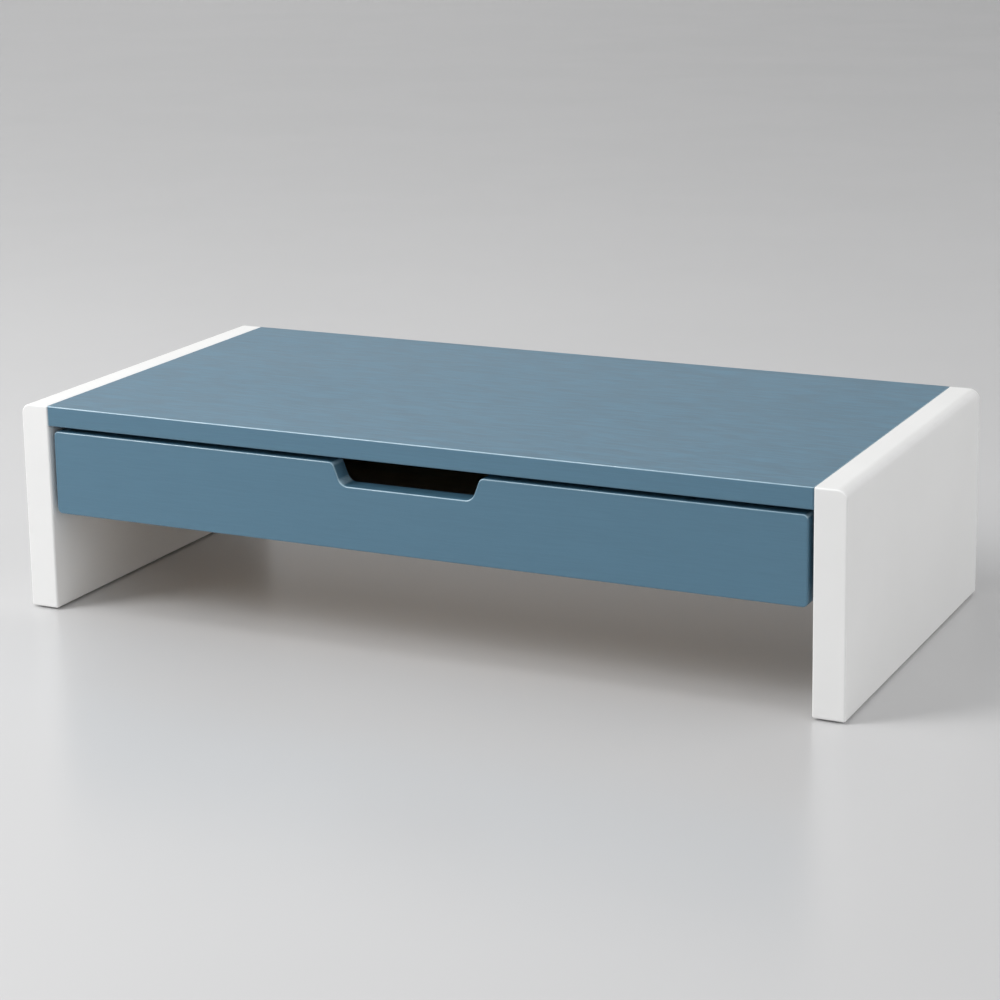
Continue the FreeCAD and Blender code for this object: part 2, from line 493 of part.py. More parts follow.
def make_drawer_side(side, sign):
    outer, inner = signed(sign, BOX_X), signed(sign, BOX_INSIDE_X)
    middle = signed(sign, BOX_SIDE_MIDDLE_X)
    body = add_body(f"drawer_{side}_side")
    board = rectangle(body, f"box_{side}", "YZ_Plane", outer,
                      (FRONT_BACK_Y, BOX_LOW_Z), (BOX_REAR_Y, BOX_TOP_Z))
    pad(body, board, "Sizes.thin_board", -sign)
    top_edges = edges_at(body, x=outer, z=BOX_TOP_Z) + edges_at(body, x=inner, z=BOX_TOP_Z)
    round_edges(body, "Sizes.arris_round", top_edges)
    groove = rectangle(body, f"{side}_groove", "YZ_Plane", inner,
                       (FRONT_BACK_Y, GROOVE_LOW_Z), (BOX_REAR_Y, GROOVE_TOP_Z))
    pocket(body, groove, "Sizes.groove_depth", sign)
    dowels = [(middle, z) for z in BOX_DOWELS_Z]
    bolts = [(middle, BOX_JOINT_Z)]
    for name, centres, diameter, depth in (
            ("end_dowels", dowels, DOWEL_HOLE, DOWEL_PAST_THIN),
            ("end_bolt", bolts, THREAD_HOLE, "Sizes.cam_setback")):
        holes = circles(body, f"{side}_{name}", "XZ_Plane", FRONT_BACK_Y, centres, diameter)
        pocket(body, holes, depth, 1)
    cam_centre = [(f"({FRONT_BACK_Y} + Sizes.cam_setback)", BOX_JOINT_Z)]
    pocket(body, circles(body, f"{side}_cam_bore", "YZ_Plane", inner, cam_centre, CAM_HOLE), CAM_DEPTH, sign)
    screws = [(BOX_BACK_MIDDLE_Y, z) for z in BACK_SCREWS_Z]
    countersunk_holes(body, f"{side}_back", "YZ_Plane", outer, screws, -sign, "Sizes.thin_board")
    slide_screws = [(y, SLIDE_Z) for y in INNER_SCREWS_Y]
    rail_holes = circles(body, f"{side}_rail_holes", "YZ_Plane", outer, slide_screws, SCREW_HOLE)
    pocket(body, rail_holes, SLIDE_SCREW_DEPTH, -sign)


def make_drawer_back():
    body = add_body("drawer_back")
    low, high = (f"-{BOX_INSIDE_X}", BOX_LOW_Z), (BOX_INSIDE_X, BOX_TOP_Z)
    pad(body, rectangle(body, "back_board", "XZ_Plane", BOX_BACK_FACE_Y, low, high), "Sizes.thin_board", 1)
    top_edges = edges_at(body, y=BOX_REAR_Y, z=BOX_TOP_Z) + edges_at(body, y=BOX_BACK_FACE_Y, z=BOX_TOP_Z)
    round_edges(body, "Sizes.arris_round", top_edges)
    groove = rectangle(body, "back_groove", "XZ_Plane", BOX_BACK_FACE_Y,
                       (f"-{BOX_INSIDE_X}", GROOVE_LOW_Z), (BOX_INSIDE_X, GROOVE_TOP_Z))
    pocket(body, groove, "Sizes.groove_depth", 1)
    screws = [(BOX_BACK_MIDDLE_Y, z) for z in BACK_SCREWS_Z]
    depth = "(Sizes.back_screw_length - Sizes.thin_board + Sizes.hole_spare)"
    for side, sign in SIDES:
        end = circles(body, f"back_{side}_screws", "YZ_Plane", signed(sign, BOX_INSIDE_X), screws, SCREW_HOLE)
        pocket(body, end, depth, -sign)


def make_drawer_bottom():
    body = add_body("drawer_bottom")
    reach = "(Sizes.groove_depth - Sizes.groove_spare)"
    low = (f"(-{BOX_INSIDE_X} - {reach})", f"({FRONT_BACK_Y} - {reach})")
    high = (f"({BOX_INSIDE_X} + {reach})", f"({BOX_BACK_FACE_Y} + {reach})")
    sheet = rectangle(body, "bottom_sheet", "XY_Plane", GROOVE_LOW_Z, low, high)
    pad(body, sheet, "Sizes.bottom_thickness", 1)


# Slides. Each piece is drawn from the side panel's face towards the drawer and round the slide's own
# middle height. The right slide is the left one turned half round the Y axis.


def add_slide_body(side, sign, name):
    body = add_body(f"{side}_{name}")
    body.Placement = FreeCAD.Placement(FreeCAD.Vector(), FreeCAD.Rotation(Y_AXIS, 0 if sign < 0 else 180))
    body.setExpression("Placement.Base.x", signed(sign, FACE_X))
    body.setExpression("Placement.Base.z", SLIDE_Z)
    return body


def add_channel(body, web_x, reach_x, outside_z, sheet, front_y, rear_y, lip=None):
    """A bent channel along Y with its two bends rounded. Its web starts at web_x and its flanges end at
    reach_x, on either side of the web. A lip goes from the flange's end towards the middle."""
    bend = sheet if value(reach_x) > value(web_x) else f"-{sheet}"
    inside_z = f"({outside_z} - {sheet})"
    upper = [(web_x, outside_z), (reach_x, outside_z)]
    if lip:
        lip_x, lip_z = f"({reach_x} - {bend})", f"({inside_z} - {lip})"
        upper += [(reach_x, lip_z), (lip_x, lip_z), (lip_x, inside_z)]
    else:
        upper += [(reach_x, inside_z)]
    upper += [(f"({web_x} + {bend})", inside_z)]
    lower = [(x, f"(-{z})") for x, z in reversed(upper)]
    section = polygon(body, f"{body.Name}_section", "XZ_Plane", front_y, upper + lower)
    pad(body, section, f"({rear_y} - {front_y})", 1)
    bends = edges_at(body, x=web_x, z=outside_z) + edges_at(body, x=web_x, z=f"(-{outside_z})")
    round_edges(body, sheet, bends)


def cut_races(body, rows_z, front_y, rear_y):
    """Grooves along the flanges, in which the balls run."""
    rows = [("Sizes.ball_line", z) for row in rows_z for z in (row, f"(-{row})")]
    races = circles(body, f"{body.Name}_races", "XZ_Plane", front_y, rows, f"(2 * {RACE_RADIUS})")
    pocket(body, races, f"({rear_y} - {front_y})", 1)


def make_outer_rail(side, sign):
    body = add_slide_body(side, sign, "outer_rail")
    add_channel(body, "0", "Sizes.slide_reach", "(Sizes.slide_height / 2)", "Sizes.slide_steel",
                SLIDE_FRONT_Y, SLIDE_REAR_Y, lip="Sizes.lip_drop")
    cut_races(body, [OUTER_BALL_Z], SLIDE_FRONT_Y, SLIDE_REAR_Y)
    screws = [(y, "0") for y in OUTER_SCREWS_Y]
    countersunk_holes(body, f"{side}_outer", "YZ_Plane", "Sizes.slide_steel", screws, -1,
                      "Sizes.slide_steel", "Sizes.screw_proud")


def make_middle_rail(side, sign):
    body = add_slide_body(side, sign, "middle_rail")
    add_channel(body, MIDDLE_WEB_X, "Sizes.middle_reach", MIDDLE_OUTSIDE_Z, "Sizes.slide_steel",
                SLIDE_FRONT_Y, MIDDLE_REAR_Y)
    cut_races(body, [OUTER_BALL_Z, INNER_BALL_Z], SLIDE_FRONT_Y, MIDDLE_REAR_Y)
    holes = circles(body, f"{side}_access", "YZ_Plane", MIDDLE_WEB_X, [(y, "0") for y in OUTER_SCREWS_Y],
                    "Sizes.access_hole")
    pocket(body, holes, "Sizes.slide_steel", 1)


def make_inner_rail(side, sign):
    body = add_slide_body(side, sign, "inner_rail")
    add_channel(body, "Sizes.slide_space", INNER_FLANGE_X, INNER_OUTSIDE_Z, "Sizes.slide_steel",
                SLIDE_FRONT_Y, SLIDE_REAR_Y)
    cut_races(body, [INNER_BALL_Z], SLIDE_FRONT_Y, SLIDE_REAR_Y)
    screws = [(y, "0") for y in INNER_SCREWS_Y]
    countersunk_holes(body, f"{side}_inner", "YZ_Plane", INNER_WEB_X, screws, 1,
                      "Sizes.slide_steel", "Sizes.screw_proud")


def ball_row():
    """The places of one row of balls along a cage: as many as it holds, about its middle."""
    held = value(f"({CAGE_LENGTH} - Sizes.ball_diameter - 2 * Sizes.cage_border) / Sizes.ball_pitch")
    count = int(held) + 1
    return [f"({CAGE_MIDDLE_Y} + {number - (count - 1) / 2} * Sizes.ball_pitch)" for number in range(count)]


def make_cage_with_balls(side, sign, stage, web_x, ball_z, ball):
    body = add_slide_body(side, sign, f"{stage}_ball_cage")
    add_channel(body, web_x, CAGE_REACH_X, f"({ball_z} + Sizes.cage_sheet / 2)", "Sizes.cage_sheet",
                CAGE_FRONT_Y, CAGE_REAR_Y)
    row = ball_row()
    centres = [("Sizes.ball_line", y) for y in row]
    window = "(Sizes.ball_diameter + 2 * Sizes.cage_play)"
    windows = circles(body, f"{side}_{stage}_windows", "XY_Plane", "0", centres, window)
    pocket(body, windows, "Sizes.slide_height", 0)
    line_x = signed(sign, f"({FACE_X} - Sizes.ball_line)")
    places = [(line_x, y, f"({SLIDE_Z} + {level} * {ball_z})", FreeCAD.Rotation())
              for level in (-1, 1) for y in row]
    add_group(f"{side}_{stage}_balls", ball, places)


def make_slide_buffer(side, sign):
    """The stop that the closed middle rail comes up against, in the rear end of the outer rail."""
    body = add_slide_body(side, sign, "slide_buffer")
    half = "(Sizes.buffer_height / 2)"
    block = rectangle(body, f"{side}_buffer", "XZ_Plane", BUFFER_Y, ("Sizes.slide_steel", f"(-{half})"),
                      (f"({MIDDLE_WEB_X} + Sizes.slide_steel)", half))
    pad(body, block, "Sizes.buffer_length", 1)
    round_edges(body, "Sizes.buffer_round", edges_at(body, y=BUFFER_Y))


def make_ball():
    ball = document.addObject("Part::Sphere", "slide_ball")
    ball.setExpression("Radius", BALL_RADIUS)
    return ball


# Fixings. Each kind is drawn once, along +X or +Z, and copied to its places.


def cut_cross_slot(body, plane, at, length, width, depth, towards):
    for name, across, up in (("level", length, width), ("upright", width, length)):
        arm = rectangle(body, f"{body.Name}_{name}", plane, at, (f"(-{across} / 2)", f"(-{up} / 2)"),
                        (f"({across} / 2)", f"({up} / 2)"))
        pocket(body, arm, depth, towards)


def make_wood_screw(name, length):
    """A countersunk screw along +X with the top of its head at the origin."""
    body = add_body(name, is_node=False)
    head, shank = "(Sizes.screw_head / 2)", "(Sizes.screw_diameter / 2)"
    revolve(body, [("0", "0"), ("0", head), (SCREW_CONE, shank), (f"({length} - Sizes.screw_tip)", shank),
                   (length, "0")])
    cut_cross_slot(body, "YZ_Plane", "0", "Sizes.screw_slot_length", "Sizes.screw_slot_width",
                   "Sizes.screw_slot_depth", 1)
    return body


def make_dowel():
    """A dowel along +X. The origin is its middle."""
    body = add_body("dowel", is_node=False)
    end, radius = "(Sizes.dowel_length / 2)", "(Sizes.dowel_diameter / 2)"
    bevel_x, bevel_z = f"({end} - Sizes.dowel_bevel)", f"({radius} - Sizes.dowel_bevel)"
    revolve(body, [(f"(-{end})", "0"), (f"(-{end})", bevel_z), (f"(-{bevel_x})", radius), (bevel_x, radius),
                   (end, bevel_z), (end, "0")])
    return body


def make_cam_bolt():
    """A cam bolt along +X. The origin is at the joint of the two boards, and the thread lies at -X."""
    body = add_body("cam_bolt", is_node=False)
    head_end = "(Sizes.cam_setback + Sizes.bolt_head_length / 2)"
    head_start = "(Sizes.cam_setback - Sizes.bolt_head_length / 2)"
    neck_start = f"({head_start} - Sizes.bolt_neck_length)"
    thread, shank = "(Sizes.bolt_thread / 2)", "(Sizes.bolt_shank / 2)"
    neck, head = "(Sizes.bolt_neck / 2)", "(Sizes.bolt_head / 2)"
    revolve(body, [("(-Sizes.bolt_thread_length)", "0"), ("(-Sizes.bolt_thread_length)", thread),
                   ("0", thread), ("0", shank), (neck_start, shank), (neck_start, neck),
                   (head_start, neck), (head_start, head), (head_end, head), (head_end, "0")])
    return body


def make_cam_lock():
    """A cam lock with its slotted face at the origin, +Z into the board and -X towards the joint."""
    body = add_body("cam_lock", is_node=False)
    disc = circles(body, "cam_circle", "XY_Plane", "0", [("0", "0")], "Sizes.cam_diameter")
    pad(body, disc, CAM_DEPTH, 1)
    bore_end = "(Sizes.bolt_head_length / 2 + Sizes.hole_spare)"
    bore = circles(body, "cam_bore", "YZ_Plane", bore_end, [("0", "(Sizes.thin_board / 2)")], CAM_BORE)
    pocket(body, bore, f"({bore_end} + Sizes.cam_diameter / 2)", -1)
    cut_cross_slot(body, "XY_Plane", "0", "Sizes.cam_slot_length", "Sizes.cam_slot_width",
                   "Sizes.cam_slot_depth", 1)
    return body


def place_carcass_fixings(dowel, bolt, cam):
    upright = turn(Z_AXIS, X_AXIS)
    sink = "Sizes.dowel_sink_thick"
    dowels, bolts, cams = [], [], []
    for _, sign in SIDES:
        inwards = turn(X_AXIS * -sign, Z_AXIS)
        face_x = signed(sign, FACE_X)
        dowel_x = signed(sign, f"({FACE_X} + {sink} - Sizes.dowel_length / 2)")
        cam_x = signed(sign, f"({FACE_X} - Sizes.cam_setback)")
        dowels += [(dowel_x, y, TOP_MIDDLE_Z, inwards) for y in TOP_DOWELS_Y]
        dowels += [(dowel_x, RAIL_MIDDLE_Y, z, inwards) for z in RAIL_DOWELS_Z]
        dowels += [(signed(sign, "Sizes.rail_dowel_place"), RAIL_MIDDLE_Y,
                    f"({UNDER_TOP_Z} + Sizes.dowel_sink_thin - Sizes.dowel_length / 2)", upright)]
        bolts += [(face_x, y, TOP_MIDDLE_Z, inwards) for y in TOP_BOLTS_Y]
        bolts += [(face_x, RAIL_MIDDLE_Y, RAIL_MIDDLE_Z, inwards)]
        cams += [(cam_x, y, UNDER_TOP_Z, inwards) for y in TOP_BOLTS_Y]
        cams += [(cam_x, RAIL_FRONT_Y, RAIL_MIDDLE_Z, turn(X_AXIS * -sign, Y_AXIS))]
    add_group("carcass_dowels", dowel, dowels)
    add_group("carcass_cam_bolts", bolt, bolts)
    add_group("carcass_cam_locks", cam, cams)


def place_drawer_fixings(dowel, bolt, cam, screw):
    backwards = turn(Y_AXIS, Z_AXIS)
    dowel_y = f"({FRONT_BACK_Y} - Sizes.dowel_sink_thin + Sizes.dowel_length / 2)"
    cam_y = f"({FRONT_BACK_Y} + Sizes.cam_setback)"
    dowels, bolts, cams, screws = [], [], [], []
    for _, sign in SIDES:
        middle_x = signed(sign, BOX_SIDE_MIDDLE_X)
        dowels += [(middle_x, dowel_y, z, backwards) for z in BOX_DOWELS_Z]
        bolts += [(middle_x, FRONT_BACK_Y, BOX_JOINT_Z, backwards)]
        cams += [(signed(sign, BOX_INSIDE_X), cam_y, BOX_JOINT_Z, turn(Y_AXIS, X_AXIS * sign))]
        screws += [(signed(sign, BOX_X), BOX_BACK_MIDDLE_Y, z, turn(X_AXIS * -sign, Z_AXIS))
                   for z in BACK_SCREWS_Z]
    add_group("drawer_dowels", dowel, dowels)
    add_group("drawer_cam_bolts", bolt, bolts)
    add_group("drawer_cam_locks", cam, cams)
    add_group("drawer_back_screws", screw, screws)


def place_slide_screws(screw):
    outer, inner = [], []
    for _, sign in SIDES:
        outer_x = signed(sign, f"({FACE_X} - {SLIDE_SCREW_HEAD})")
        inner_x = signed(sign, f"({BOX_X} + {SLIDE_SCREW_HEAD})")
        outer += [(outer_x, y, SLIDE_Z, turn(X_AXIS * sign, Z_AXIS)) for y in OUTER_SCREWS_Y]
        inner += [(inner_x, y, SLIDE_Z, turn(X_AXIS * -sign, Z_AXIS)) for y in INNER_SCREWS_Y]
    add_group("outer_rail_screws", screw, outer)
    add_group("inner_rail_screws", screw, inner)


def make_carcass():
    for side, sign in SIDES:
        make_side_panel(side, sign)
    make_top_panel()
    make_back_rail()
    make_foot_pads()


def make_drawer():
    make_drawer_front()
    for side, sign in SIDES:
        make_drawer_side(side, sign)
    make_drawer_back()
    make_drawer_bottom()


def make_slides():
    ball = make_ball()
    for side, sign in SIDES:
        make_outer_rail(side, sign)
        make_middle_rail(side, sign)
        make_inner_rail(side, sign)
        make_cage_with_balls(side, sign, "outer", OUTER_CAGE_X, OUTER_BALL_Z, ball)
        make_cage_with_balls(side, sign, "inner", INNER_CAGE_X, INNER_BALL_Z, ball)
        make_slide_buffer(side, sign)


def make_fixings():
    dowel, bolt, cam = make_dowel(), make_cam_bolt(), make_cam_lock()
    place_carcass_fixings(dowel, bolt, cam)
    place_drawer_fixings(dowel, bolt, cam, make_wood_screw("back_screw", "Sizes.back_screw_length"))
    place_slide_screws(make_wood_screw("slide_screw", "Sizes.slide_screw_length"))


def check_model():
    document.recompute()
    for item in document.Objects:
        if "Invalid" in item.State or "Error" in item.State:
            raise RuntimeError(f"{item.Label} is {item.State}")
    for node in nodes:
        if node.Shape.isNull() or not node.Shape.isValid():
            raise RuntimeError(f"{node.Label} has no valid shape")


def write_parts():
    os.makedirs("parts", exist_ok=True)
    for node in nodes:
        node.Shape.exportStep(f"parts/{node.Label}.step")
        print(f"{node.Label}: solids {len(node.Shape.Solids)}, volume {node.Shape.Volume:.1f} mm3")


make_carcass()
make_drawer()
make_slides()
make_fixings()
check_model()
write_parts()
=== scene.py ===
import math

import bpy
from bpy.props import FloatProperty, FloatVectorProperty, PointerProperty
from mathutils import Matrix, Vector


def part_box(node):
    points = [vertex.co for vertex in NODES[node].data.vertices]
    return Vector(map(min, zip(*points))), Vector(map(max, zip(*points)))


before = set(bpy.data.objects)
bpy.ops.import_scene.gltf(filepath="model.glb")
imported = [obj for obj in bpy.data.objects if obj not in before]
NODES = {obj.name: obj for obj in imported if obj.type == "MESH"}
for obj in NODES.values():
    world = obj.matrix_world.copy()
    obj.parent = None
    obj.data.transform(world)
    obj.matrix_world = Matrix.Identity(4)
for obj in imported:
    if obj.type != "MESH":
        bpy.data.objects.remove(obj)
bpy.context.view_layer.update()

bl_info = {
    "name": "Desk Shelf",
    "version": (1, 0, 0),
    "blender": (4, 5, 0),
    "location": "3D View > Sidebar > Desk Shelf",
    "description": "Finishes a desk shelf with a drawer, and its studio",
    "category": "Object",
}

SIDES = ("left", "right")
MM = 0.001

# How often a pattern repeats in a metre, along X, Y and Z.
LACQUERED_FIBRES = (45, 330, 1300)
BEECH_FIBRES = (150, 900, 900)
BEECH_FLECKS = (300, 300, 1400)
ROLLED_MARKS = (5200, 60, 5200)
TURNED_MARKS = (700, 700, 700)
POLISHED_MARKS = (900, 900, 900)
# The same for birch, along its fibres and across them.
BIRCH_ALONG = 24.0
BIRCH_ACROSS = 420.0

# The largest part of a board's normal: 1 on a flat face, and 0.7 in the middle of a rounded edge.
EDGE_BEGINS = 0.97
EDGE_FULL = 0.80
# The upward part of a normal where an edge starts to be an upper one, and where it fully is. The edge mask
# keeps to upper edges because it partly paints the highlight that light from above puts on them.
UPPER_BEGINS = 0.1
UPPER_FULL = 0.4
# The same for an upper face, on which the grain shows more through the lacquer than on the others.
FACE_BEGINS = 0.5
FACE_FULL = 0.9
GRAIN_ON_SIDES = 0.15
GRAIN_ON_TOP = 0.7

# Plies are told apart on a board's edge, where little of the normal lies along its thickness.
BOX_PLIES = 9
BOTTOM_PLIES = 3
PLIES_BEGIN = 0.75
PLIES_FULL = 0.6
# The soft border in a pair of plies, after which the second one is dark.
PLY_BORDER = (0.47, 0.53)

# Lowest and highest roughness.
BIRCH_ROUGHNESS = (0.36, 0.46)
BEECH_ROUGHNESS = (0.62, 0.74)
LOCK_ROUGHNESS = (0.38, 0.5)

# Linear colours of the fittings.
RAIL_ZINC = (0.62, 0.63, 0.64)
CAGE_STEEL = (0.50, 0.51, 0.52)
BALL_STEEL = (0.72, 0.72, 0.73)
SCREW_ZINC = (0.62, 0.62, 0.60)
BOLT_ZINC = (0.58, 0.58, 0.56)
LOCK_ZINC = (0.43, 0.44, 0.45)
BEECH = (0.60, 0.42, 0.27)
BLACK_NYLON = (0.028, 0.028, 0.03)
DARK_RUBBER = (0.025, 0.025, 0.025)

# The studio's sweep: facets around it, steps up its bend, and rings of its floor as shares of its radius.
SWEEP_FACETS = 96
BEND_STEPS = 18
FLOOR_RINGS = (0.0, 0.02, 0.1, 0.3, 0.6)
# Painted light: towards the left the floor is painted as pale as the wall, between these places on X, for
# the brighter light at that side.
FLOOR_PAINTED_LIGHT_FROM = -0.4
FLOOR_PAINTED_LIGHT_TO = -3.0
# The brighter sky at a side ends where the cosine of the angle to its middle is this.
LOBE_ENDS = 0.3
LAMP_AIM = (0.0, 0.0, 0.06)
# In millimetres, as the lens is.
SENSOR_WIDTH = 36.0


# Node building


def join(tree, value, socket):
    """Gives a socket a plain value, or joins another node's output to it."""
    if isinstance(value, bpy.types.NodeSocket):
        tree.links.new(value, socket)
    else:
        socket.default_value = value


def add_node(tree, kind, inputs=None, **settings):
    node = tree.nodes.new(f"ShaderNode{kind}")
    for name, value in settings.items():
        setattr(node, name, value)
    for name, value in (inputs or {}).items():
        join(tree, value, node.inputs[name])
    return node


def add_math(tree, operation, first, second=0.0, clamp=False):
    node = add_node(tree, "Math", {0: first, 1: second}, operation=operation, use_clamp=clamp)
    return node.outputs[0]


def scale_vector(tree, vector, scale):
    node = add_node(tree, "VectorMath", {0: vector, 1: scale}, operation="MULTIPLY")
    return node.outputs[0]


def add_noise(tree, vector, scale=1.0, detail=2.0, roughness=0.5, distortion=0.0):
    inputs = {"Vector": vector, "Scale": scale, "Detail": detail, "Roughness": roughness,
              "Distortion": distortion}
    return add_node(tree, "TexNoise", inputs).outputs["Fac"]


def spread(tree, value, low, high, start=0.0, end=1.0, smooth=True):
    """Maps low..high to start..end, and holds the ends."""
    inputs = {"Value": value, "From Min": low, "From Max": high, "To Min": start, "To Max": end}
    kind = "SMOOTHSTEP" if smooth else "LINEAR"
    return add_node(tree, "MapRange", inputs, interpolation_type=kind).outputs["Result"]


def times(tree, first, second, clamp=False):
    return add_math(tree, "MULTIPLY", first, second, clamp)


def between(tree, mask, low, high):
    """Low where a mask is 0, and high where it is 1."""
    return spread(tree, mask, 0, 1, low, high)


def stretched(tree, noise):
    """Noise seldom leaves 0.3 to 0.7, so this spreads it over 0 to 1."""
    return spread(tree, noise, 0.3, 0.7)


def mix_colours(tree, share, first, second):
    node = add_node(tree, "Mix", data_type="RGBA")
    join(tree, share, node.inputs["Factor"])
    colours = [socket for socket in node.inputs if socket.type == "RGBA"]
    for colour, socket in zip((first, second), colours):
        join(tree, opaque(colour), socket)
    return next(socket for socket in node.outputs if socket.type == "RGBA")


def opaque(colour):
    return colour if isinstance(colour, bpy.types.NodeSocket) else (*colour, 1.0)


def shade(colour, factor):
    return tuple(min(channel * factor, 1.0) for channel in colour)


def vary(tree, mask, colour, darkest, lightest):
    """A colour that a mask darkens and lightens by factors."""
    return mix_colours(tree, mask, shade(colour, darkest), shade(colour, lightest))


def local_place(tree):
    return add_node(tree, "TexCoord").outputs["Object"]


def local_normal(tree):
    """The normal's parts along X, Y and Z."""
    return add_node(tree, "SeparateXYZ", {0: add_node(tree, "TexCoord").outputs["Normal"]}).outputs


# Effects that several materials share


def new_group(name, inputs, outputs):
    """An empty node group. Inputs are name: (kind, default), and outputs are name: kind."""
    tree = bpy.data.node_groups.new(name, "ShaderNodeTree")
    for label, (kind, default) in inputs.items():
        socket = tree.interface.new_socket(name=label, in_out="INPUT", socket_type=f"NodeSocket{kind}")
        socket.default_value = default
    for label, kind in outputs.items():
        tree.interface.new_socket(name=label, in_out="OUTPUT", socket_type=f"NodeSocket{kind}")
    start = tree.nodes.new("NodeGroupInput").outputs
    end = tree.nodes.new("NodeGroupOutput").inputs
    return tree, start, end


def place_group(tree, group, **inputs):
    """Puts a shared effect in a material, and makes it if it isn't there yet."""
    if group not in bpy.data.node_groups:
        EFFECTS[group]()
    node = tree.nodes.new("ShaderNodeGroup")
    node.node_tree = bpy.data.node_groups[group]
    for name, value in inputs.items():
        join(tree, value, node.inputs[name.capitalize()])
    return node.outputs


def make_edge_wear_and_highlight():
    """A mask of the rounded upper edges of square boards, broken up as handling does it. It marks wear,
    and also where a painted highlight goes: the upper edges that catch the light from above.
    """
    tree, start, end = new_group("Edge wear and painted highlight", {"Amount": ("Float", 1.0)}, {"Mask": "Float"})
    normal = local_normal(tree)
    along_x, along_y, along_z = (add_math(tree, "ABSOLUTE", axis) for axis in normal)
    largest = add_math(tree, "MAXIMUM", add_math(tree, "MAXIMUM", along_x, along_y), along_z)
    rounded = spread(tree, largest, EDGE_BEGINS, EDGE_FULL)
    # Only upper edges: the lightening that this mask drives is partly a painted highlight from the light
    # above.
    upper = spread(tree, normal["Z"], UPPER_BEGINS, UPPER_FULL)
    patches = add_noise(tree, local_place(tree), scale=90.0, detail=3.0)
    broken = spread(tree, patches, 0.25, 0.6, start=0.7)
    worn_and_highlit = times(tree, times(tree, rounded, upper), broken)
    join(tree, times(tree, worn_and_highlit, start["Amount"], clamp=True), end["Mask"])


def make_wood_grain():
    """Fibres of a board: fine streaks, broad bands and a height for the bump."""
    inputs = {"Frequency": ("Vector", LACQUERED_FIBRES), "Waviness": ("Float", 0.6)}
    outputs = {"Streaks": "Float", "Bands": "Float", "Height": "Float"}
    tree, start, end = new_group("Wood grain", inputs, outputs)
    place = local_place(tree)
    drift = add_node(tree, "TexNoise", {"Vector": place, "Scale": 5.0, "Detail": 2.0})
    shift = scale_vector(tree, drift.outputs["Color"], (12 * MM, 12 * MM, 12 * MM))
    waves = add_node(tree, "VectorMath", {0: shift, "Scale": start["Waviness"]}, operation="SCALE")
    bent = add_node(tree, "VectorMath", {0: place, 1: waves.outputs[0]}, operation="ADD")
    fibres = scale_vector(tree, bent.outputs[0], start["Frequency"])
    fine = add_noise(tree, fibres, scale=1.0, detail=4.0, roughness=0.62)
    broad = add_noise(tree, fibres, scale=0.11, detail=3.0, roughness=0.55, distortion=0.4)
    pores = spread(tree, add_noise(tree, fibres, scale=2.1, detail=2.0), 0.60, 0.72)
    join(tree, stretched(tree, fine), end["Streaks"])
    join(tree, spread(tree, broad, 0.32, 0.68), end["Bands"])
    join(tree, add_math(tree, "SUBTRACT", fine, pores), end["Height"])


def make_lacquer_skin():
    """The slightly uneven skin of sprayed lacquer: its height and where it is duller."""
    inputs = {"Ripple": ("Float", 420.0)}
    tree, start, end = new_group("Lacquer skin", inputs, {"Height": "Float", "Dullness": "Float"})
    place = local_place(tree)
    ripples = add_node(tree, "TexNoise", {"Vector": place, "Scale": start["Ripple"], "Detail": 1.5})
    clouds = add_noise(tree, place, scale=9.0, detail=4.0, roughness=0.6)
    specks = add_noise(tree, place, scale=1900.0, detail=1.0)
    join(tree, add_math(tree, "ADD", ripples.outputs["Fac"], times(tree, specks, 0.25)), end["Height"])
    join(tree, stretched(tree, clouds), end["Dullness"])


def make_brushed_steel():
    """Rolling and brush marks of sheet steel, with the cloudy tone of its plating."""
    inputs = {"Frequency": ("Vector", ROLLED_MARKS)}
    outputs = {"Scratches": "Float", "Clouds": "Float", "Spots": "Float"}
    tree, start, end = new_group("Brushed steel", inputs, outputs)
    place = local_place(tree)
    marks = scale_vector(tree, place, start["Frequency"])
    join(tree, add_noise(tree, marks, scale=1.0, detail=3.0, roughness=0.7), end["Scratches"])
    join(tree, stretched(tree, add_noise(tree, place, scale=60.0, detail=3.0)), end["Clouds"])
    join(tree, spread(tree, add_noise(tree, place, scale=480.0, detail=2.0), 0.62, 0.75), end["Spots"])


EFFECTS = {
    "Edge wear and painted highlight": make_edge_wear_and_highlight,
    "Wood grain": make_wood_grain,
    "Lacquer skin": make_lacquer_skin,
    "Brushed steel": make_brushed_steel,
}


# Materials


def new_material(name):
    material = bpy.data.materials.new(name)
    material.use_nodes = True
    tree = material.node_tree
    shader = next(node for node in tree.nodes if node.type == "BSDF_PRINCIPLED")
    return material, tree, shader


def add_bump(tree, shader, height, depth):
    """Depth is how far the height's whole range stands out, in metres."""
    bump = add_node(tree, "Bump", {"Height": height, "Distance": depth, "Strength": 1.0})
    join(tree, bump.outputs["Normal"], shader.inputs["Normal"])


def white_lacquer(finish):
    material, tree, shader = new_material("white_satin_lacquer")
    skin = place_group(tree, "Lacquer skin", ripple=420.0)
    wear_and_highlight = place_group(tree, "Edge wear and painted highlight", amount=finish.edge_wear_and_highlight)
    white, roughness = tuple(finish.white), finish.white_roughness
    clouded = vary(tree, skin["Dullness"], white, darkest=0.985, lightest=1.01)
    # Painted highlight, partly wear: the rounded upper edges are lightened to a paler white.
    worn_and_highlit = mix_colours(tree, wear_and_highlight["Mask"], clouded, shade(white, 1.12))
    join(tree, worn_and_highlit, shader.inputs["Base Color"])
    dull = between(tree, skin["Dullness"], roughness - 0.03, roughness + 0.04)
    rubbed = add_math(tree, "SUBTRACT", dull, times(tree, wear_and_highlight["Mask"], 0.08))
    join(tree, rubbed, shader.inputs["Roughness"])
    add_bump(tree, shader, skin["Height"], depth=0.012 * MM)
    shader.inputs["IOR"].default_value = finish.white_gloss
    return material


